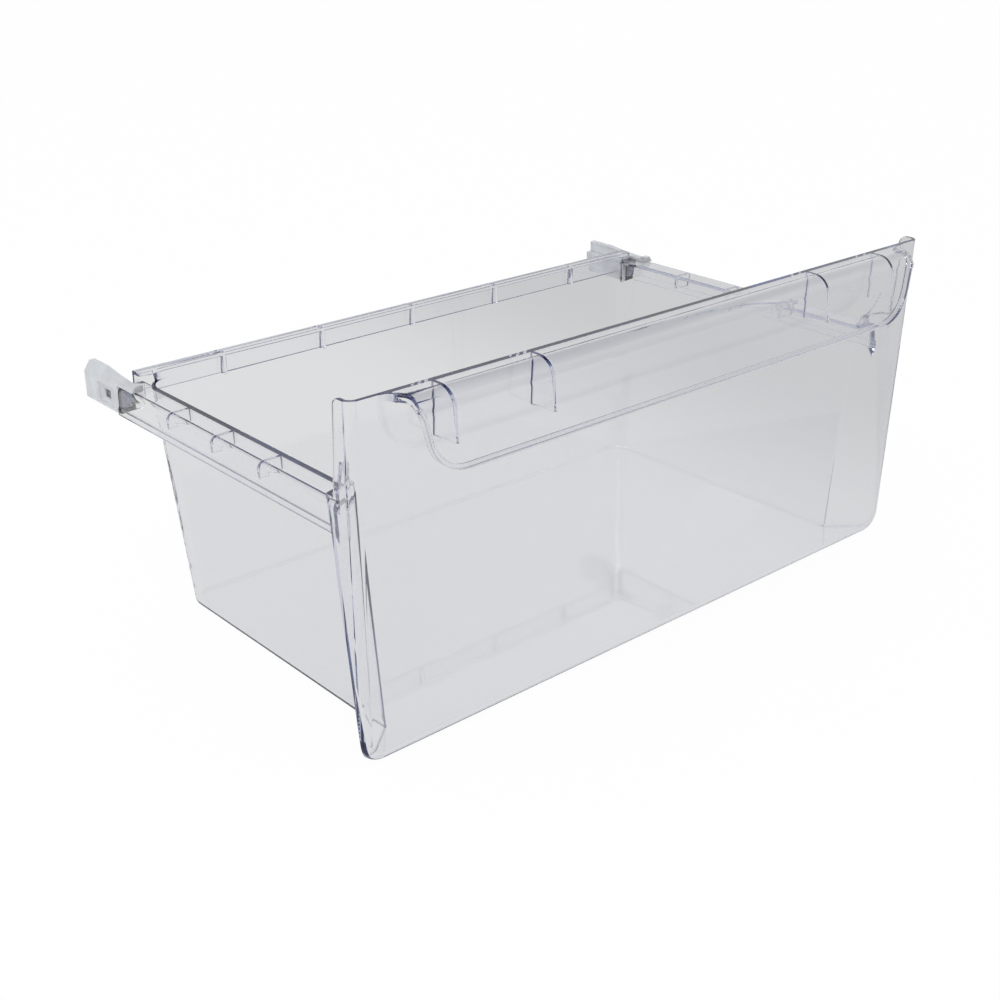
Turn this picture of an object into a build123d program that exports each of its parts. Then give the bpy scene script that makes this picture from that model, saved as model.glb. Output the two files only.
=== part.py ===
"""Clear fridge drawer: a one-piece moulded tub with a tall front panel and a grip lip.

Two clip-on glides sit on the rear ends of its side rims. Millimetres, +Z up, the front faces -Y
and the drawer stands on its floor at z = 0. Depths are measured from the foot of the front panel
and the finished pieces are then centred on the origin.
"""
from build123d import *
import math
import os

# Moulding
WALL = 2.5
RIM_WALL = 2.2
LIP_WALL = 2.2
WEB = 1.8
FLOOR_ROUND = 4.0

# Tub, measured outside, set in from the panel's ends at its foot
FLOOR_INSET = 28.5
FLOOR_DEPTH = 225.5
SIDE_DRAFT = math.radians(4.6)
REAR_DRAFT = math.radians(3.2)
REAR_CORNER_ROUND = 16.0

# Front panel with its swept-back ends
PANEL_WIDTH = 440.0
PANEL_HEIGHT = 203.0
PANEL_LEAN = math.radians(1.0)
END_DRAFT = math.radians(1.0)
FOOT_CORNER_ROUND = 14.0
PANEL_CORNER_ROUND = 6.0
END_DEPTH_FOOT = 2.2
END_DEPTH_RIM = 22.0
END_DEPTH_UPPER = 16.0
END_DEPTH_TOP = 12.8
END_TOP_ROUND = 5.0
CREASE_DEPTH = 25.5
END_EDGE_ROUND = 0.6

# Rims
SIDE_RIM_HEIGHT = 144.0
SIDE_RIM_REACH = 14.5
SIDE_FLANGE_HEIGHT = 17.5
SIDE_RIM_ROUND = 4.0
FLANGE_BEAD_HEIGHT = 5.0
FLANGE_BEAD = 0.7
REAR_RIM_HEIGHT = 150.5
REAR_RIM_REACH = 5.5
REAR_FLANGE_HEIGHT = 14.5
SIDE_RIB_DEPTH = 10.0
SIDE_RIB_FIRST = 88.0
SIDE_RIB_PITCH = 46.0
SIDE_RIB_COUNT = 3
REAR_RIB_PITCH = 73.3
REAR_RIB_COUNT = 5
RIM_END_CUT = 23.0

# Grip lip along the top of the panel
LIP_REACH = 17.0
LIP_HEIGHT = 42.0
LIP_LEAN = math.radians(3.0)
LIP_ROUND = 11.0
LIP_BEAD_HEIGHT = 3.5
LIP_BEAD_DEPTH = 3.0
LIP_BEAD_INSET = 8.0
LIP_EDGE_DEPTH = 5.0
LIP_INSET_TOP = 25.5
LIP_INSET_FOOT = 34.0
LIP_END_TOP_ROUND = 12.0
LIP_END_FOOT_ROUND = 24.0
GUSSET_INSET = 46.5
GUSSET_PITCH = 63.5
GUSSET_PAIRS = 2
GUSSET_HEIGHT = 28.0

# Pointed webs between the rim and the panel ends
SPIRE_HEIGHT = 22.0
SPIRE_SHOULDER = 11.0
SPIRE_TIP_OFFSET = 8.0
SPIRE_HOLLOW = 1.6

# Clip-on glides
GLIDE_START = 236.0
GLIDE_LENGTH = 41.5
GLIDE_WIDTH = 12.0
GLIDE_FOOT_RISE = 0.5
GLIDE_SHOULDER_DROP = 0.6
GLIDE_INNER_DROP = 1.5
GLIDE_RIDGE_RISE = 5.5
GLIDE_RIDGE_WIDTH = 8.0
GLIDE_RIDGE_LENGTH = 19.0
GLIDE_CHAMFER_WIDTH = 4.0
GLIDE_TONGUE_LENGTH = 17.0
GLIDE_TONGUE_HEIGHT = 2.2
GLIDE_SADDLE_SAG = 0.8
GLIDE_NUB_HEIGHT = 1.8
GLIDE_NUB_LENGTH = 4.0
GLIDE_EDGE_ROUND = 0.8
ARM_WIDTH = 6.0
ARM_HEIGHT = 9.0
ARM_LENGTH = 30.0
ARM_CLEARANCE = 0.2
SNAP_LENGTH = 7.0
SNAP_HEIGHT = 5.5
WINDOW_LENGTH = 18.0
WINDOW_HEIGHT = 11.5
WINDOW_DEPTH = 1.2

# Places worked out from the sizes above
HALF_PANEL = PANEL_WIDTH / 2
HALF_FLOOR = HALF_PANEL - FLOOR_INSET
FLANGE_FOOT = SIDE_RIM_HEIGHT - SIDE_FLANGE_HEIGHT
ARM_LEVEL = SIDE_RIM_HEIGHT - SIDE_FLANGE_HEIGHT / 2
LIP_FOOT = PANEL_HEIGHT - LIP_HEIGHT
LIP_END_TOP = HALF_PANEL - LIP_INSET_TOP
LIP_END_FOOT = HALF_PANEL - LIP_INSET_FOOT
LIP_BEAD_END = HALF_PANEL - LIP_BEAD_INSET
GLIDE_END = GLIDE_START + GLIDE_LENGTH
REACH = 60.0
OVERRUN = 1.5 * FLOOR_ROUND
FLARE_STRETCH = 2.0
FLARE_OVERLAP = 0.3


def panel_face(height):
    """Depth of the panel's front face, which leans forward as it rises."""
    return -height * math.tan(PANEL_LEAN)


def end_half_width(height):
    """Half width of the panel over the outside of its swept-back ends."""
    return HALF_PANEL + height * math.tan(END_DRAFT)


def side_half_width(height):
    """Half width of the tub over the outside of its side walls."""
    return HALF_FLOOR + height * math.tan(SIDE_DRAFT)


def rear_depth(height):
    """Depth of the outside of the tub's rear wall."""
    return FLOOR_DEPTH + height * math.tan(REAR_DRAFT)


RIM_EDGE = side_half_width(SIDE_RIM_HEIGHT) + SIDE_RIM_REACH
LIP_FACE_TOP = panel_face(PANEL_HEIGHT) - LIP_REACH
LIP_FACE_FOOT = LIP_FACE_TOP - LIP_HEIGHT * math.tan(LIP_LEAN)
CENTRE_SHIFT = -(GLIDE_END + LIP_FACE_FOOT) / 2


def end_edge(height):
    """Depth of the rear edge of the panel's swept-back ends, up to the rear rim."""
    reach = END_DEPTH_FOOT + (END_DEPTH_RIM - END_DEPTH_FOOT) * height / REAR_RIM_HEIGHT
    return panel_face(height) + reach


def tub_plan(height, inset):
    """Plan of the tub behind the panel at one height, drawn in by the given amount."""
    side = side_half_width(height) - inset
    front = CREASE_DEPTH / 2
    rear = rear_depth(height) - inset
    plan = make_face(Polyline((side, front), (side, rear), (-side, rear), (-side, front), close=True))
    plan = fillet(plan.vertices().group_by(Axis.Y)[-1], REAR_CORNER_ROUND - inset)
    return plan.face().moved(Location((0, 0, height)))


def tub(inset, top):
    """The tub as a drafted block with rounded floor edges, drawn in by the given amount."""
    block = loft([tub_plan(inset, inset), tub_plan(top, inset)], ruled=True)
    behind_panel = block.edges().group_by(Axis.Z)[0].sort_by(Axis.Y)[1:]
    return fillet(behind_panel, FLOOR_ROUND - inset)


def panel_block(inset, top):
    """The panel and its ends as one block with a rounded outline, drawn in by the given amount."""
    low = end_half_width(inset) - inset
    high = end_half_width(top) - inset
    view = make_face(Polyline((low, inset), (high, top), (-high, top), (-low, inset), close=True))
    view = fillet(view.vertices().group_by(Axis.Y)[0], FOOT_CORNER_ROUND - inset)
    rear = CREASE_DEPTH + OVERRUN
    block = Pos(0, rear, 0) * extrude(Plane.XZ * view, amount=rear + REACH)
    lean = [(panel_face(-REACH) + inset, -REACH), (panel_face(top + REACH) + inset, top + REACH),
            (-2 * REACH, top + REACH), (-2 * REACH, -REACH)]
    ahead = extrude(Plane.YZ * make_face(Polyline(*lean, close=True)), amount=PANEL_WIDTH, both=True)
    block -= ahead
    outline = block.faces().sort_by(Axis.Y)[0].edges().sort_by(Axis.Z)[:-1]
    return fillet(outline, PANEL_CORNER_ROUND - inset)


def flare_plan(height, inset):
    """Plan of the space behind the flare that joins a panel end to the tub, at one height."""
    end = Vector(end_half_width(height), end_edge(height))
    crease = Vector(side_half_width(height), CREASE_DEPTH)
    across = end - crease
    inwards = Vector(across.Y, -across.X).normalized() * inset
    outer = end + across * FLARE_STRETCH + inwards
    inner = crease - across * FLARE_OVERLAP + inwards
    rear = CREASE_DEPTH + REACH
    plan = make_face(Polyline(outer, inner, (inner.X, rear), (outer.X, rear), close=True))
    return plan.face().moved(Location((0, 0, height)))


def flare_cuts(inset, top):
    """Tools that cut both flares, drawn in by the given amount."""
    cut = loft([flare_plan(-OVERRUN, inset), flare_plan(top, inset)], ruled=True)
    return cut + mirror(cut, about=Plane.YZ)


def upper_end_cut():
    """Tool that trims the panel's ends above the rear rim to free edges with a rounded top."""
    low = panel_face(REAR_RIM_HEIGHT) + END_DEPTH_UPPER
    high = panel_face(PANEL_HEIGHT) + END_DEPTH_TOP
    kept = [(low, REAR_RIM_HEIGHT), (high, PANEL_HEIGHT), (-REACH, PANEL_HEIGHT), (-REACH, REAR_RIM_HEIGHT)]
    profile = make_face(Polyline(*kept, close=True))
    profile = fillet(profile.vertices().sort_by_distance((high, PANEL_HEIGHT, 0))[0], END_TOP_ROUND)
    tool = Pos(0, 0, REAR_RIM_HEIGHT + REACH) * Box(2 * PANEL_WIDTH, 2 * REACH, 2 * REACH)
    return tool - extrude(Plane.YZ * profile, amount=2 * PANEL_WIDTH, both=True)


def rim_web(foot):
    """A web across the channel under a side rim, from its top face down to one height."""
    wall_x = side_half_width(foot) - WALL / 2
    edge = RIM_EDGE - RIM_WALL / 2
    top = SIDE_RIM_HEIGHT - RIM_WALL / 2
    profile = make_face(Polyline((wall_x, foot), (edge, foot), (edge, top), (wall_x, top), close=True))
    corner = profile.vertices().sort_by_distance((edge, top, 0))[0]
    profile = fillet(corner, SIDE_RIM_ROUND - RIM_WALL / 2)
    return extrude(Plane.XZ * profile, amount=WEB / 2, both=True)


def side_rim(side):
    """Side rim: a top face, a hanging flange with a bead along its foot, and a closed front end."""
    wall_x = side_half_width(SIDE_RIM_HEIGHT) - WALL
    edge = RIM_EDGE
    top = SIDE_RIM_HEIGHT
    outside = [(wall_x, top), (edge, top), (edge, FLANGE_FOOT + FLANGE_BEAD_HEIGHT),
               (edge + FLANGE_BEAD, FLANGE_FOOT + FLANGE_BEAD_HEIGHT - FLANGE_BEAD),
               (edge + FLANGE_BEAD, FLANGE_FOOT), (edge - RIM_WALL, FLANGE_FOOT),
               (edge - RIM_WALL, top - RIM_WALL), (wall_x, top - RIM_WALL)]
    profile = make_face(Polyline(*outside, close=True))
    outer = profile.vertices().sort_by_distance((edge, top, 0))[0]
    inner = profile.vertices().sort_by_distance((edge - RIM_WALL, top - RIM_WALL, 0))[0]
    profile = fillet(outer, SIDE_RIM_ROUND)
    profile = fillet(profile.vertices().sort_by_distance(inner.center())[0], SIDE_RIM_ROUND - RIM_WALL)
    start = panel_face(top) + WALL
    channel = extrude(Plane.XZ * profile, amount=-(GLIDE_START - start))
    channel = Pos(0, start, 0) * channel
    web_foot = FLANGE_FOOT + RIM_WALL / 2
    rim = channel + Pos(0, panel_face(top) + END_DEPTH_RIM + WEB / 2, 0) * rim_web(web_foot)
    for index in range(SIDE_RIB_COUNT):
        rib_y = SIDE_RIB_FIRST + index * SIDE_RIB_PITCH
        rim += Pos(0, rib_y, 0) * rim_web(top - SIDE_RIB_DEPTH)
    rim += Pos(0, GLIDE_START - WEB / 2, 0) * rim_web(web_foot)
    arm_length = ARM_LENGTH + WEB
    arm_y = GLIDE_START + ARM_LENGTH - arm_length / 2
    rim += Pos(RIM_EDGE - GLIDE_WIDTH / 2, arm_y, ARM_LEVEL) * Box(ARM_WIDTH, arm_length, ARM_HEIGHT)
    if side < 0:
        rim = mirror(rim, about=Plane.YZ)
    return rim


def rear_rim():
    """Rear rim: a narrow top face and a hanging flange, stiffened by ribs."""
    wall_y = rear_depth(REAR_RIM_HEIGHT) - WALL
    edge = rear_depth(REAR_RIM_HEIGHT) + REAR_RIM_REACH
    top = REAR_RIM_HEIGHT
    foot = top - REAR_FLANGE_HEIGHT
    length = 2 * (RIM_EDGE - GLIDE_WIDTH - ARM_CLEARANCE)
    plate = Pos(0, (wall_y + edge) / 2, top - RIM_WALL / 2) * Box(length, edge - wall_y, RIM_WALL)
    flange = Pos(0, edge - RIM_WALL / 2, (top + foot) / 2) * Box(length, RIM_WALL, top - foot)
    rim = plate + flange
    rib = Pos(0, (wall_y + edge) / 2, (top + foot) / 2) * Box(WEB, edge - wall_y - RIM_WALL / 2, top - foot)
    for index in range(REAR_RIB_COUNT):
        rib_x = (index - (REAR_RIB_COUNT - 1) / 2) * REAR_RIB_PITCH
        rim += Pos(rib_x, 0, 0) * rib
    return rim


def lip_profile(inset, height):
    """Side outline of the grip lip down to one height, drawn in by the given amount."""
    top = PANEL_HEIGHT - inset
    back = panel_face(PANEL_HEIGHT) + WALL
    face_top = LIP_FACE_TOP + inset
    face_foot = LIP_FACE_TOP - (PANEL_HEIGHT - height) * math.tan(LIP_LEAN) + inset
    outline = [(back, top), (face_top, top), (face_foot, height), (back, height)]
    profile = make_face(Polyline(*outline, close=True))
    corner = profile.vertices().sort_by_distance((face_top, top, 0))[0]
    return fillet(corner, LIP_ROUND - inset)


def lip_front(inset):
    """Front outline of the grip lip with its S-curved ends, drawn in by the given amount, as a long bar."""
    bead_foot = PANEL_HEIGHT - LIP_BEAD_HEIGHT + inset
    right = [(LIP_END_FOOT - inset, LIP_FOOT + inset), (LIP_END_TOP - inset, bead_foot),
             (PANEL_WIDTH, bead_foot), (PANEL_WIDTH, PANEL_HEIGHT + REACH)]
    left = [(-x, z) for x, z in reversed(right)]
    rounds = [LIP_END_FOOT_ROUND - inset, LIP_END_TOP_ROUND + inset, END_EDGE_ROUND, END_EDGE_ROUND]
    view = FilletPolyline(*(right + left), radius=rounds + rounds[::-1], close=True)
    return extrude(Plane.XZ * make_face(view), amount=PANEL_WIDTH, both=True)


def grip_lip():
    """Waterfall lip with S-curved ends, cut from one rolled profile."""
    half = end_half_width(PANEL_HEIGHT) - PANEL_CORNER_ROUND / 2
    length = 2 * half
    low = LIP_FOOT - REACH
    outer = extrude(Plane.YZ * lip_profile(0, low), amount=length)
    inner = extrude(Plane.YZ * lip_profile(LIP_WALL, low), amount=length)
    behind_edge = extrude(Plane.YZ * lip_profile(LIP_EDGE_DEPTH, low), amount=length)
    whole = lip_front(0)
    edge = (outer - behind_edge) & (Pos(half, 0, 0) * (whole - lip_front(LIP_WALL)))
    lip = Pos(-half, 0, 0) * ((outer - inner) + edge)
    # Past the S-curves a small bead runs on along the panel's top and fades into it, seen from above
    face = panel_face(PANEL_HEIGHT)
    bead_y = face - LIP_BEAD_DEPTH
    right = [(LIP_END_TOP, bead_y - REACH), (LIP_END_TOP, bead_y), (LIP_BEAD_END, face + WALL / 2),
             (LIP_BEAD_END, REACH)]
    left = [(-x, y) for x, y in reversed(right)]
    rounds = [END_EDGE_ROUND, LIP_END_TOP_ROUND, END_EDGE_ROUND, END_EDGE_ROUND]
    top_view = FilletPolyline(*(right + left), radius=rounds + rounds[::-1], close=True)
    plan = Pos(0, 0, LIP_FOOT - REACH) * extrude(make_face(top_view), amount=PANEL_HEIGHT)
    return lip & whole & plan


def gussets():
    """Webs that tie the lip back to the panel."""
    foot = PANEL_HEIGHT - GUSSET_HEIGHT
    profile = lip_profile(LIP_WALL / 2, foot)
    web = extrude(Plane.YZ * profile, amount=WEB / 2, both=True)
    front = panel_face(foot) + WALL / 2
    web -= Pos(0, front + REACH / 2, foot) * Box(2 * WEB, REACH, 2 * GUSSET_HEIGHT - 2 * LIP_WALL)
    offsets = [HALF_PANEL - GUSSET_INSET - index * GUSSET_PITCH for index in range(GUSSET_PAIRS)]
    return [Pos(side * offset, 0, 0) * web for offset in offsets for side in (-1, 1)]


def spires():
    """Pointed webs that rise from the rim to the panel ends along the flare."""
    top = SIDE_RIM_HEIGHT
    start = Vector(side_half_width(top) - WALL / 2, CREASE_DEPTH, 0)
    finish = Vector(end_half_width(top) - WALL, panel_face(top) + END_DEPTH_UPPER - WALL, 0)
    run = finish - start
    plane = Plane(origin=start, x_dir=run, z_dir=run.cross(Vector(0, 0, 1)))
    low = top - RIM_WALL
    shoulder = Vector(run.length, top + SPIRE_SHOULDER)
    tip = Vector(run.length - SPIRE_TIP_OFFSET, top + SPIRE_HEIGHT)
    heel = Vector(0, top)
    outline = Polyline(heel, (0, low), (run.length, low), shoulder)
    for first, last in ((shoulder, tip), (tip, heel)):
        middle = (first + last) / 2 - Vector(last.Y - first.Y, first.X - last.X).normalized() * SPIRE_HOLLOW
        outline += ThreePointArc(first, middle, last)
    web = extrude(plane * make_face(outline), amount=WEB / 2, both=True)
    return [web, mirror(web, about=Plane.YZ)]


def drawer_body():
    """The one-piece moulding."""
    panel = panel_block(0, PANEL_HEIGHT) - flare_cuts(0, REAR_RIM_HEIGHT) - upper_end_cut()
    outer = tub(0, REAR_RIM_HEIGHT) + panel
    for side in (-1, 1):
        outer += side_rim(side)
    outer += rear_rim()
    behind_panel = panel_block(WALL, PANEL_HEIGHT + REACH) - flare_cuts(WALL, REAR_RIM_HEIGHT + WALL)
    body = outer - (tub(WALL, REAR_RIM_HEIGHT + REACH) + behind_panel)
    # The side walls stop at the lower side rims
    wall_front = RIM_END_CUT
    wall_rear = rear_depth(SIDE_RIM_HEIGHT) - WALL
    cut = Pos(0, (wall_front + wall_rear) / 2, SIDE_RIM_HEIGHT + REACH / 2)
    body -= cut * Box(2 * PANEL_WIDTH, wall_rear - wall_front, REACH)
    body += grip_lip()
    for web in gussets() + spires():
        body += web
    return body


def glide_ridge(outer):
    """Ridge of a glide: a saddle that runs forward over the rim and ends in a nub."""
    rim = SIDE_RIM_HEIGHT
    top = rim + GLIDE_RIDGE_RISE
    tongue = rim + GLIDE_TONGUE_HEIGHT
    nub = tongue + GLIDE_NUB_HEIGHT
    low = rim - GLIDE_SHOULDER_DROP - GLIDE_INNER_DROP
    front = GLIDE_START - GLIDE_TONGUE_LENGTH
    saddle_rear = Vector(GLIDE_END - GLIDE_RIDGE_LENGTH, top)
    saddle_front = Vector(front + GLIDE_NUB_LENGTH, tongue)
    sag = (saddle_rear + saddle_front) / 2 - Vector(0, GLIDE_SADDLE_SAG)
    outline = ThreePointArc(saddle_rear, sag, saddle_front)
    outline += Polyline(saddle_front, (saddle_front.X, nub), (front, nub), (front, rim), (GLIDE_START, rim),
                        (GLIDE_START, low), (GLIDE_END, low), (GLIDE_END, top), saddle_rear)
    bar = extrude(Plane.YZ * make_face(outline), amount=GLIDE_RIDGE_WIDTH)
    return Pos(outer - GLIDE_RIDGE_WIDTH, 0, 0) * bar


def glide(side):
    """Clip-on glide: a block over the rim's arm, with a saddle-shaped ridge and a snap window."""
    outer = RIM_EDGE
    inner = outer - GLIDE_WIDTH
    foot = FLANGE_FOOT + GLIDE_FOOT_RISE
    shoulder = SIDE_RIM_HEIGHT - GLIDE_SHOULDER_DROP
    head = shoulder - GLIDE_INNER_DROP
    middle = Pos((inner + outer) / 2, GLIDE_START + GLIDE_LENGTH / 2, (foot + head) / 2)
    block = middle * Box(GLIDE_WIDTH, GLIDE_LENGTH, head - foot) + glide_ridge(outer)
    # The outer side slopes from the shoulder to the ridge
    steepness = (SIDE_RIM_HEIGHT + GLIDE_RIDGE_RISE - shoulder) / GLIDE_CHAMFER_WIDTH
    slope = [(outer, shoulder), (outer + REACH, shoulder), (outer + REACH, shoulder + REACH),
             (outer - REACH / steepness, shoulder + REACH)]
    face = make_face(Polyline(*slope, close=True))
    block -= extrude(Plane.XZ * face, amount=2 * GLIDE_END, both=True)
    rear_edges = block.faces().sort_by(Axis.Y)[-1].edges()
    block = chamfer(rear_edges, GLIDE_EDGE_ROUND)
    arm_x = outer - GLIDE_WIDTH / 2
    pocket_length = ARM_LENGTH + ARM_CLEARANCE
    pocket = Box(ARM_WIDTH + 2 * ARM_CLEARANCE, 2 * pocket_length, ARM_HEIGHT + 2 * ARM_CLEARANCE)
    block -= Pos(arm_x, GLIDE_START, ARM_LEVEL) * pocket
    window_y = GLIDE_START + pocket_length / 2
    window_z = (foot + shoulder) / 2
    block -= Pos(outer, window_y, window_z) * Box(2 * WINDOW_DEPTH, WINDOW_LENGTH, WINDOW_HEIGHT)
    snap = Box(GLIDE_WIDTH / 2, SNAP_LENGTH, SNAP_HEIGHT)
    block -= Pos(outer - GLIDE_WIDTH / 4, window_y, ARM_LEVEL) * snap
    if side < 0:
        block = mirror(block, about=Plane.YZ)
    return block


def write(name, piece):
    """Centre a finished piece on the origin and write it."""
    export_step(Pos(0, CENTRE_SHIFT, 0) * piece, os.path.join("parts", name + ".step"))


os.makedirs("parts", exist_ok=True)
write("drawer_body", drawer_body())
write("left_rear_glide", glide(-1))
write("right_rear_glide", glide(1))
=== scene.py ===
import math

import bmesh
import bpy
from bpy.props import FloatProperty, FloatVectorProperty, PointerProperty
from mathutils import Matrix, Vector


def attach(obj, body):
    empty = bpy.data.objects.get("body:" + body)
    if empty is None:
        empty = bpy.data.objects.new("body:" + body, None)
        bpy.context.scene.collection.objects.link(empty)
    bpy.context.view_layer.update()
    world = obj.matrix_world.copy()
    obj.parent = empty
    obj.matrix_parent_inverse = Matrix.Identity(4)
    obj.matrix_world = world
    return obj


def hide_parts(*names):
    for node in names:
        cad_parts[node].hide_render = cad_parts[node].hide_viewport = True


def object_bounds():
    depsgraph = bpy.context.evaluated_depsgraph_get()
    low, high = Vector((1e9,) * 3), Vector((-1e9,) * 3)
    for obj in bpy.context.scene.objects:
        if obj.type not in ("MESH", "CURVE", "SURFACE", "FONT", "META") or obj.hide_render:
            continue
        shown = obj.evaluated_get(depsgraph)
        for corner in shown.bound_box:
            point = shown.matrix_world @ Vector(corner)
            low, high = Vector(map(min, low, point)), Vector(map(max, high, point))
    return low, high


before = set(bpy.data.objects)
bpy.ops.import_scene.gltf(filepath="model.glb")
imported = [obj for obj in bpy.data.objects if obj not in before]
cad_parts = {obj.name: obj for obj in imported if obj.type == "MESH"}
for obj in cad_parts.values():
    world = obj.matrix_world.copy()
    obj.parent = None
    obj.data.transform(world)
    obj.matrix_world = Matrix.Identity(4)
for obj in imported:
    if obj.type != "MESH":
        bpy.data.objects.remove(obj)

CAD_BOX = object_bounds()

# Vertices nearer than this are merged, in metres
MERGE_DISTANCE = 1e-6
# Faces that turn by less than this are joined into one
FLAT_ANGLE = math.radians(0.4)
# A run of sharp edges ends where it turns by more than this
CORNER_ANGLE = math.radians(50)
# Edges that turn by more than this count as folded, and faces below this area, in square metres, as specks
FOLD_ANGLE = math.radians(150)
SPECK_AREA = 1e-11
# Faces across one rounded edge
ROUND_STEPS = 3
# Shading follows the largest faces at a vertex, so flat walls stay flat
LARGE_FACE_WEIGHT = 100

# Sizes of the patterns in the plastics, in metres
HAZE_LENGTH = 0.060
RIPPLE_LENGTH = 0.045
RIPPLE_DEPTH = 0.002
CLOUD_LENGTH = 0.009

# Refractive indices of the plastics
STYRENE_IOR = 1.59
POLYPROPYLENE_IOR = 1.49

# The soft lamp hangs to the left in front of the drawer and points down at it
KEY_PLACE = (-0.9, -0.5, 1.5)
KEY_TURN = (math.radians(18), math.radians(-30), 0)
KEY_WIDTH = 0.9

# Light runs far along a clear wall before it leaves at an edge
LIGHT_BOUNCES = 96
SENSOR_WIDTH = 36.0
WHITE = (1, 1, 1, 1)

bl_info = {
    "name": "Clear Fridge Drawer",
    "version": (1, 0, 0),
    "blender": (4, 5, 0),
    "location": "View3D > Sidebar > Drawer",
    "description": "Dresses a clear moulded fridge drawer and sets up its studio",
    "category": "Object",
}


def linear(code):
    """Linear red, green and blue of an sRGB hex colour."""
    channels = [int(code[i:i + 2], 16) / 255 for i in (1, 3, 5)]
    return tuple(c / 12.92 if c <= 0.04045 else ((c + 0.055) / 1.055) ** 2.4 for c in channels)


def add_node(tree, kind, inputs=None, links=None, **settings):
    """Add a node with its settings, its socket values and the sockets that feed it."""
    made = tree.nodes.new(kind)
    for name, value in settings.items():
        setattr(made, name, value)
    for socket, value in (inputs or {}).items():
        made.inputs[socket].default_value = value
    for socket, source in (links or {}).items():
        tree.links.new(source, made.inputs[socket])
    return made


def empty_material(name):
    """A new material with an empty node tree."""
    material = bpy.data.materials.new(name)
    material.use_nodes = True
    material.node_tree.nodes.clear()
    return material


class DrawerFinish(bpy.types.PropertyGroup):
    """Sizes and colours of the drawer's mouldings."""

    edge_round: FloatProperty(
        name="Edge round", description="Radius of the soft edges left by the mould",
        default=0.0005, min=0.0001, max=0.001, subtype="DISTANCE", unit="LENGTH")
    shortest_run: FloatProperty(
        name="Shortest run", description="Runs of sharp edges shorter than this stay sharp",
        default=0.005, subtype="DISTANCE", unit="LENGTH")
    sharp_angle: FloatProperty(
        name="Sharp angle", description="Edges that turn by more than this are rounded",
        default=math.radians(42), subtype="ANGLE")
    smooth_angle: FloatProperty(
        name="Smooth angle", description="Edges that turn by less than this are shaded smooth",
        default=math.radians(32), subtype="ANGLE")
    clear_tint: FloatVectorProperty(
        name="Clear tint", description="Colour that light keeps on a long way through the clear plastic",
        default=linear("#477FD6"), size=3, min=0, max=1, subtype="COLOR")
    clear_density: FloatProperty(
        name="Clear density", description="How fast the clear plastic takes light away, per metre",
        default=10.0, min=0)
    glide_colour: FloatVectorProperty(
        name="Glide colour", description="Colour of the milky glides",
        default=linear("#F5F8FC"), size=3, min=0, max=1, subtype="COLOR")


class StudioSettings(bpy.types.PropertyGroup):
    """Camera, floor and light of the studio."""

    camera_place: FloatVectorProperty(
        name="Camera place", description="Where the camera stands", default=(-0.5876, -0.6479, 0.4406),
        size=3, subtype="TRANSLATION", unit="LENGTH")
    camera_tilt: FloatProperty(
        name="Camera tilt", description="Camera's turn up from straight down",
        default=math.radians(65.57), subtype="ANGLE")
    camera_turn: FloatProperty(
        name="Camera turn", description="Camera's turn about the vertical",
        default=math.radians(-41.43), subtype="ANGLE")
    camera_lens: FloatProperty(
        name="Lens", description="Focal length on a 36 mm sensor", default=53.3, subtype="DISTANCE_CAMERA")
    floor_width: FloatProperty(
        name="Floor width", description="Width of the studio floor",
        default=8.0, subtype="DISTANCE", unit="LENGTH")
    floor_gap: FloatProperty(
        name="Floor gap", description="Air under the drawer, so that the two faces stay apart",
        default=0.0004, subtype="DISTANCE", unit="LENGTH")
    floor_colour: FloatVectorProperty(
        name="Floor colour", description="Colour of the studio floor",
        default=linear("#F4F4F4"), size=3, min=0, max=1, subtype="COLOR")
    white_share: FloatProperty(
        name="White share", description="Share of the floor that shows as the white background, and not as "
        "lit paper with the drawer's shadow", default=0.97, min=0, max=1)
    sky_level: FloatProperty(
        name="Sky level", description="Light from the studio's white walls", default=0.8, min=0)
    glass_level: FloatProperty(
        name="Glass level", description="White floor and walls as clear plastic shows them",
        default=0.745, min=0, max=1)
    # These levels paint a pool of light into the floor's emission: mirror and glass rays see it fade from
    # glass level on the left to far level on the right
    painted_far_level: FloatProperty(
        name="Far level", description="The same past the edge of the pool of light, to the right",
        default=0.6, min=0, max=1)
    painted_pool_start: FloatProperty(
        name="Pool start", description="Where the pool of light begins to fade, along X",
        default=0.12, subtype="DISTANCE", unit="LENGTH")
    painted_pool_end: FloatProperty(
        name="Pool end", description="Where the pool of light has faded, along X",
        default=0.45, subtype="DISTANCE", unit="LENGTH")
    ceiling_colour: FloatVectorProperty(
        name="Ceiling colour", description="Unlit ceiling and unlit end of the room, which the edges mirror",
        default=linear("#2C3360"), size=3, min=0, max=1, subtype="COLOR")
    ceiling_start: FloatProperty(
        name="Ceiling start", description="Height above the horizon where the walls begin to darken",
        default=math.radians(28), subtype="ANGLE")
    ceiling_full: FloatProperty(
        name="Ceiling full", description="Height above the horizon where the ceiling is fully dark",
        default=math.radians(48), subtype="ANGLE")
    unlit_side: FloatVectorProperty(
        name="Unlit side", description="Direction of the room's unlit end, behind the photographer",
        default=(-0.672, -0.741, 0), size=3, subtype="DIRECTION")
    unlit_start: FloatProperty(
        name="Unlit start", description="Cosine to the unlit side at which the walls begin to darken",
        default=-0.2, min=-1, max=1)
    unlit_full: FloatProperty(
        name="Unlit full", description="Cosine to the unlit side at which the walls are fully dark",
        default=0.2, min=-1, max=1)
    key_power: FloatProperty(
        name="Key power", description="Power of the large soft lamp", default=9.0, min=0, unit="POWER")


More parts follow.
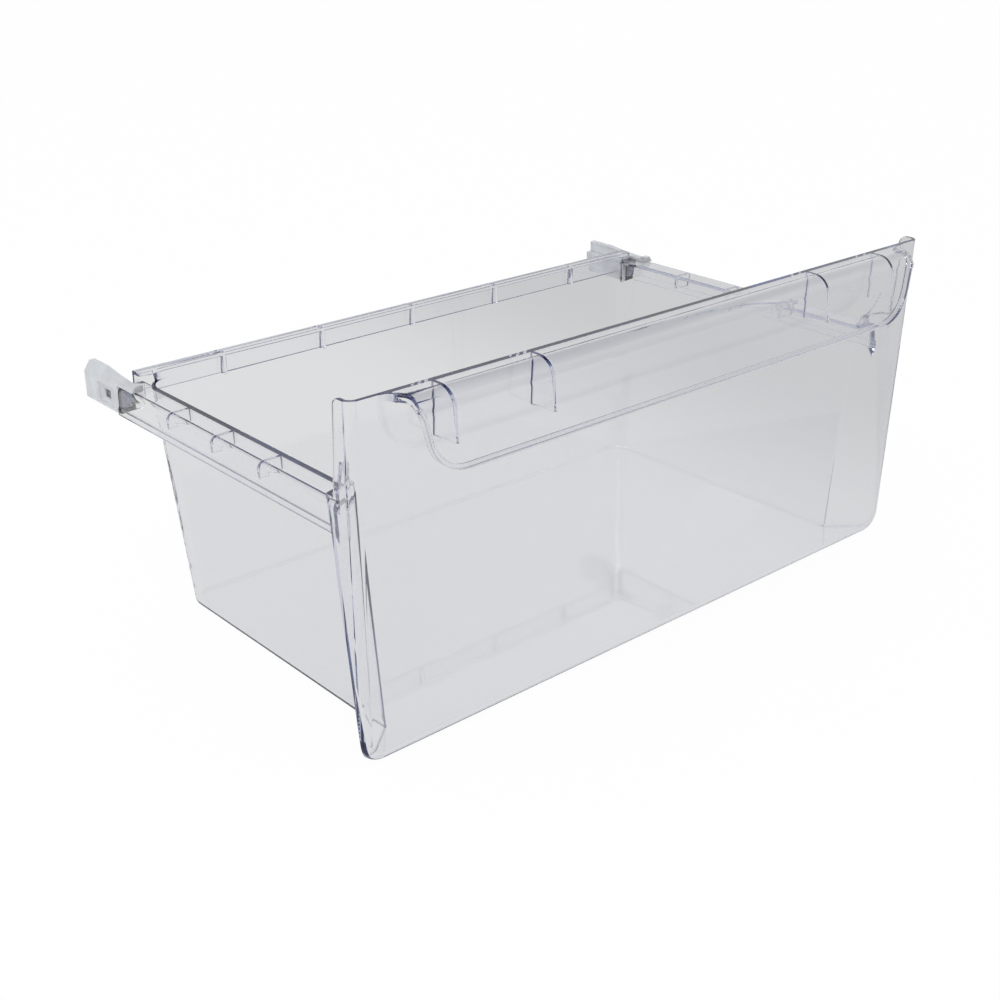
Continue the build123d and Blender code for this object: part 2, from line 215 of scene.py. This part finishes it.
def clear_styrene(finish):
    """Crystal polystyrene, injection moulded in a polished tool.

    It is clear and glossy, and its blue tint hardly shows through one wall. Light that runs along a wall to
    its edge crosses much more of it, so edges and ribs read navy. Handling leaves a faint haze and the flow
    of the melt a slow ripple.
    """
    material = empty_material("crystal_polystyrene_moulded")
    tree = material.node_tree
    place = add_node(tree, "ShaderNodeTexCoord")
    # The noise repeats 1 / length times in a metre
    haze = add_node(tree, "ShaderNodeTexNoise", {"Scale": 1 / HAZE_LENGTH, "Detail": 3.0, "Roughness": 0.6},
                    {"Vector": place.outputs["Object"]})
    gloss = add_node(tree, "ShaderNodeMapRange",
                     {"From Min": 0.35, "From Max": 0.7, "To Min": 0.015, "To Max": 0.06},
                     {"Value": haze.outputs["Fac"]})
    ripple = add_node(tree, "ShaderNodeTexNoise", {"Scale": 1 / RIPPLE_LENGTH, "Detail": 1.0},
                      {"Vector": place.outputs["Object"]})
    bump = add_node(tree, "ShaderNodeBump", {"Strength": 0.05, "Distance": RIPPLE_DEPTH},
                    {"Height": ripple.outputs["Fac"]})
    surface = add_node(tree, "ShaderNodeBsdfPrincipled",
                       {"Base Color": WHITE, "Transmission Weight": 1.0, "IOR": STYRENE_IOR},
                       {"Roughness": gloss.outputs["Result"], "Normal": bump.outputs["Normal"]})
    depth = add_node(tree, "ShaderNodeVolumeAbsorption",
                     {"Color": (*finish.clear_tint, 1), "Density": finish.clear_density})
    add_node(tree, "ShaderNodeOutputMaterial",
             links={"Surface": surface.outputs["BSDF"], "Volume": depth.outputs["Volume"]})
    return material


def natural_polypropylene(finish):
    """Natural polypropylene, injection moulded.

    It is milky and half clear, with a soft satin gloss and faint clouds where the melt cooled unevenly.
    """
    material = empty_material("natural_polypropylene_moulded")
    tree = material.node_tree
    place = add_node(tree, "ShaderNodeTexCoord")
    clouds = add_node(tree, "ShaderNodeTexNoise", {"Scale": 1 / CLOUD_LENGTH, "Detail": 2.0},
                      {"Vector": place.outputs["Object"]})
    satin = add_node(tree, "ShaderNodeMapRange", {"To Min": 0.08, "To Max": 0.2},
                     {"Value": clouds.outputs["Fac"]})
    milk = add_node(tree, "ShaderNodeMapRange", {"To Min": 0.35, "To Max": 0.55},
                    {"Value": clouds.outputs["Fac"]})
    surface = add_node(tree, "ShaderNodeBsdfPrincipled",
                       {"Base Color": (*finish.glide_colour, 1), "IOR": POLYPROPYLENE_IOR},
                       {"Roughness": satin.outputs["Result"], "Transmission Weight": milk.outputs["Result"]})
    add_node(tree, "ShaderNodeOutputMaterial", links={"Surface": surface.outputs["BSDF"]})
    return material


def flaws(shape):
    """How many edges fold back on themselves and how many faces have next to no area."""
    folds = [e for e in shape.edges if e.is_manifold and e.calc_face_angle() > FOLD_ANGLE]
    specks = [f for f in shape.faces if f.calc_area() < SPECK_AREA]
    return len(folds) + len(specks)


def bends(edge, onward, corner):
    """Whether two edges that meet at a vertex make a corner there."""
    before = corner.co - edge.other_vert(corner).co
    after = onward.other_vert(corner).co - corner.co
    return before.angle(after, 0.0) > CORNER_ANGLE


def sharp_runs(shape, finish):
    """Indices of the sharp edges in runs from corner to corner, with the longest run first."""
    shape.edges.index_update()
    sharp = [e for e in shape.edges if e.is_manifold and e.calc_face_angle() > finish.sharp_angle]
    candidates = set(sharp)
    taken = set()
    runs = []
    for first in sharp:
        if first in taken:
            continue
        taken.add(first)
        run = [first]
        for corner in first.verts:
            edge = first
            while True:
                onward = [e for e in corner.link_edges if e in candidates and e is not edge]
                if len(onward) != 1 or onward[0] in taken or bends(edge, onward[0], corner):
                    break
                edge = onward[0]
                taken.add(edge)
                run.append(edge)
                corner = edge.other_vert(corner)
        runs.append((sum(e.calc_length() for e in run), [e.index for e in run]))
    return [run for length, run in sorted(runs, reverse=True) if length > finish.shortest_run]


def rounded(shape, finish):
    """A copy of a shape with its sharp edges rounded, apart from runs too cramped to round cleanly."""
    allowed = flaws(shape)
    best = shape.copy()
    kept = []
    for run in sharp_runs(shape, finish):
        trial = shape.copy()
        trial.edges.ensure_lookup_table()
        bmesh.ops.bevel(trial, geom=[trial.edges[i] for i in kept + run], offset=finish.edge_round,
                        offset_type="OFFSET", segments=ROUND_STEPS, profile=0.5, affect="EDGES",
                        clamp_overlap=False, material=-1)
        if flaws(trial) > allowed:
            trial.free()
            continue
        best.free()
        best = trial
        kept += run
    return best


def soft_edged_copy(node, name, finish, material):
    """Show a merged copy of a solid, with its sharp edges rounded, in the solid's place."""
    solid = bmesh.new()
    solid.from_mesh(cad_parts[node].data)
    bmesh.ops.remove_doubles(solid, verts=solid.verts[:], dist=MERGE_DISTANCE)
    bmesh.ops.dissolve_limit(solid, angle_limit=FLAT_ANGLE, verts=solid.verts[:], edges=solid.edges[:],
                             use_dissolve_boundaries=False)
    shape = rounded(solid, finish)
    solid.free()
    bmesh.ops.remove_doubles(shape, verts=shape.verts[:], dist=MERGE_DISTANCE)
    mesh = bpy.data.meshes.new(name)
    shape.to_mesh(mesh)
    shape.free()
    mesh.shade_smooth()
    mesh.set_sharp_from_angle(angle=finish.smooth_angle)
    mesh.materials.append(material)
    piece = bpy.data.objects.new(name, mesh)
    bpy.context.scene.collection.objects.link(piece)
    even = piece.modifiers.new("Even shading", "WEIGHTED_NORMAL")
    even.keep_sharp = True
    even.weight = LARGE_FACE_WEIGHT
    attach(piece, "root")
    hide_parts(node)


class FRIDGE_OT_drawer_body(bpy.types.Operator):
    """Show the drawer's moulding in clear polystyrene"""

    bl_idname = "fridge.drawer_body"
    bl_label = "Clear drawer body"

    def execute(self, context):
        finish = context.scene.drawer_finish
        soft_edged_copy("drawer_body", "clear_drawer", finish, clear_styrene(finish))
        return {"FINISHED"}


class FRIDGE_OT_rear_glides(bpy.types.Operator):
    """Show the two clip-on glides in milky polypropylene"""

    bl_idname = "fridge.rear_glides"
    bl_label = "Rear glides"

    def execute(self, context):
        finish = context.scene.drawer_finish
        material = natural_polypropylene(finish)
        for side in ("left", "right"):
            soft_edged_copy(side + "_rear_glide", side + "_glide", finish, material)
        return {"FINISHED"}


def seen_directly(tree):
    """Light Path answers: one for camera rays, and one for camera, mirror and glass rays together."""
    path = add_node(tree, "ShaderNodeLightPath")
    mirrored = add_node(tree, "ShaderNodeMath", links={0: path.outputs["Is Glossy Ray"],
                                                       1: path.outputs["Is Transmission Ray"]},
                        operation="MAXIMUM")
    seen = add_node(tree, "ShaderNodeMath", links={0: path.outputs["Is Camera Ray"],
                                                   1: mirrored.outputs["Value"]}, operation="MAXIMUM")
    return path.outputs["Is Camera Ray"], seen.outputs["Value"]


def studio_floor(studio):
    """A white floor that keeps a faint shadow, with a painted pool of light in its emission as mirror and
    glass rays see it.
    """
    material = empty_material("white_paper_sweep")
    tree = material.node_tree
    # Paper is matt white, and seen directly it shows as the white background with a trace of shadow
    paper = add_node(tree, "ShaderNodeBsdfDiffuse", {"Color": (*studio.floor_colour, 1)})
    camera, seen = seen_directly(tree)
    place = add_node(tree, "ShaderNodeTexCoord")
    across = add_node(tree, "ShaderNodeSeparateXYZ", links={"Vector": place.outputs["Object"]})
    # Painted pool of light: for mirror and glass rays the floor's emission fades from glass level on the left
    # to far level on the right, while camera rays see it white
    painted_pool = add_node(tree, "ShaderNodeMapRange",
                    {"From Min": studio.painted_pool_start, "From Max": studio.painted_pool_end,
                     "To Min": studio.glass_level, "To Max": studio.painted_far_level},
                    {"Value": across.outputs["X"]}, interpolation_type="SMOOTHSTEP")
    level = add_node(tree, "ShaderNodeMapRange", {"To Max": 1.0},
                     {"Value": camera, "To Min": painted_pool.outputs["Result"]})
    white = add_node(tree, "ShaderNodeEmission", {"Color": WHITE},
                     {"Strength": level.outputs["Result"]})
    share = add_node(tree, "ShaderNodeMath", {1: studio.white_share}, {0: seen}, operation="MULTIPLY")
    both = add_node(tree, "ShaderNodeMixShader", links={0: share.outputs["Value"], 1: paper.outputs["BSDF"],
                                                        2: white.outputs["Emission"]})
    add_node(tree, "ShaderNodeOutputMaterial", links={"Surface": both.outputs["Shader"]})

    shape = bmesh.new()
    bmesh.ops.create_grid(shape, x_segments=1, y_segments=1, size=studio.floor_width / 2)
    bmesh.ops.translate(shape, verts=shape.verts[:], vec=(0, 0, CAD_BOX[0].z - studio.floor_gap))
    mesh = bpy.data.meshes.new("studio_floor")
    shape.to_mesh(mesh)
    shape.free()
    mesh.materials.append(material)
    floor = bpy.data.objects.new("studio_floor", mesh)
    bpy.context.scene.collection.objects.link(floor)


def studio_walls(studio):
    """The white walls of the studio, with a dark ceiling and a dark end behind the photographer."""
    world = bpy.data.worlds.new("white_studio")
    world.use_nodes = True
    tree = world.node_tree
    tree.nodes.clear()
    camera, seen = seen_directly(tree)
    place = add_node(tree, "ShaderNodeTexCoord")
    height = add_node(tree, "ShaderNodeSeparateXYZ", links={"Vector": place.outputs["Generated"]})
    darker = add_node(tree, "ShaderNodeMapRange",
                      {"From Min": math.sin(studio.ceiling_start), "From Max": math.sin(studio.ceiling_full)},
                      {"Value": height.outputs["Z"]}, interpolation_type="SMOOTHSTEP")
    towards = add_node(tree, "ShaderNodeVectorMath", {1: studio.unlit_side},
                       {0: place.outputs["Generated"]}, operation="DOT_PRODUCT")
    unlit = add_node(tree, "ShaderNodeMapRange",
                     {"From Min": studio.unlit_start, "From Max": studio.unlit_full},
                     {"Value": towards.outputs["Value"]}, interpolation_type="SMOOTHSTEP")
    shade = add_node(tree, "ShaderNodeMath", links={0: darker.outputs["Result"], 1: unlit.outputs["Result"]},
                     operation="MAXIMUM")
    light, walls, white = [add_node(tree, "ShaderNodeBackground", {"Color": WHITE, "Strength": level})
                           for level in (studio.sky_level, studio.glass_level, 1.0)]
    ceiling = add_node(tree, "ShaderNodeBackground", {"Color": (*studio.ceiling_colour, 1)})
    room = add_node(tree, "ShaderNodeMixShader", links={0: shade.outputs["Value"],
                                                        1: walls.outputs["Background"],
                                                        2: ceiling.outputs["Background"]})
    mirrored = add_node(tree, "ShaderNodeMixShader", links={0: seen, 1: light.outputs["Background"],
                                                            2: room.outputs["Shader"]})
    shown = add_node(tree, "ShaderNodeMixShader", links={0: camera, 1: mirrored.outputs["Shader"],
                                                         2: white.outputs["Background"]})
    add_node(tree, "ShaderNodeOutputWorld", links={"Surface": shown.outputs["Shader"]})
    bpy.context.scene.world = world


def soft_lamp(name, place, turn, width, power):
    """A square soft lamp."""
    data = bpy.data.lights.new(name, "AREA")
    data.shape = "SQUARE"
    data.size = width
    data.energy = power
    lamp = bpy.data.objects.new(name, data)
    lamp.location = place
    lamp.rotation_euler = turn
    bpy.context.scene.collection.objects.link(lamp)


class FRIDGE_OT_studio(bpy.types.Operator):
    """Set the floor, the light and the camera"""

    bl_idname = "fridge.studio"
    bl_label = "Studio"

    def execute(self, context):
        scene = context.scene
        studio = scene.drawer_studio
        studio_floor(studio)
        studio_walls(studio)
        soft_lamp("key_lamp", KEY_PLACE, KEY_TURN, KEY_WIDTH, studio.key_power)
        data = bpy.data.cameras.new("studio_camera")
        data.lens = studio.camera_lens
        data.sensor_width = SENSOR_WIDTH
        camera = bpy.data.objects.new("studio_camera", data)
        camera.location = studio.camera_place
        camera.rotation_euler = (studio.camera_tilt, 0, studio.camera_turn)
        scene.collection.objects.link(camera)
        scene.camera = camera
        scene.view_settings.view_transform = "Standard"
        scene.cycles.max_bounces = LIGHT_BOUNCES
        scene.cycles.glossy_bounces = LIGHT_BOUNCES
        scene.cycles.transmission_bounces = LIGHT_BOUNCES
        return {"FINISHED"}


class FRIDGE_PT_drawer(bpy.types.Panel):
    """Lists the drawer's pieces, finishes and studio"""

    bl_idname = "FRIDGE_PT_drawer"
    bl_label = "Clear Fridge Drawer"
    bl_space_type = "VIEW_3D"
    bl_region_type = "UI"
    bl_category = "Drawer"

    def draw(self, context):
        layout = self.layout
        for group in (context.scene.drawer_finish, context.scene.drawer_studio):
            for name in group.__annotations__:
                layout.prop(group, name)
        for operator in (FRIDGE_OT_drawer_body, FRIDGE_OT_rear_glides, FRIDGE_OT_studio):
            layout.operator(operator.bl_idname)


CLASSES = (DrawerFinish, StudioSettings, FRIDGE_OT_drawer_body, FRIDGE_OT_rear_glides, FRIDGE_OT_studio,
           FRIDGE_PT_drawer)


def register():
    for cls in CLASSES:
        bpy.utils.register_class(cls)
    bpy.types.Scene.drawer_finish = PointerProperty(type=DrawerFinish)
    bpy.types.Scene.drawer_studio = PointerProperty(type=StudioSettings)


def unregister():
    del bpy.types.Scene.drawer_studio
    del bpy.types.Scene.drawer_finish
    for cls in reversed(CLASSES):
        bpy.utils.unregister_class(cls)


def main():
    """Build the pieces and the stage in order."""
    register()
    bpy.ops.fridge.drawer_body()
    bpy.ops.fridge.rear_glides()
    bpy.ops.fridge.studio()


if __name__ == "__main__":
    main()
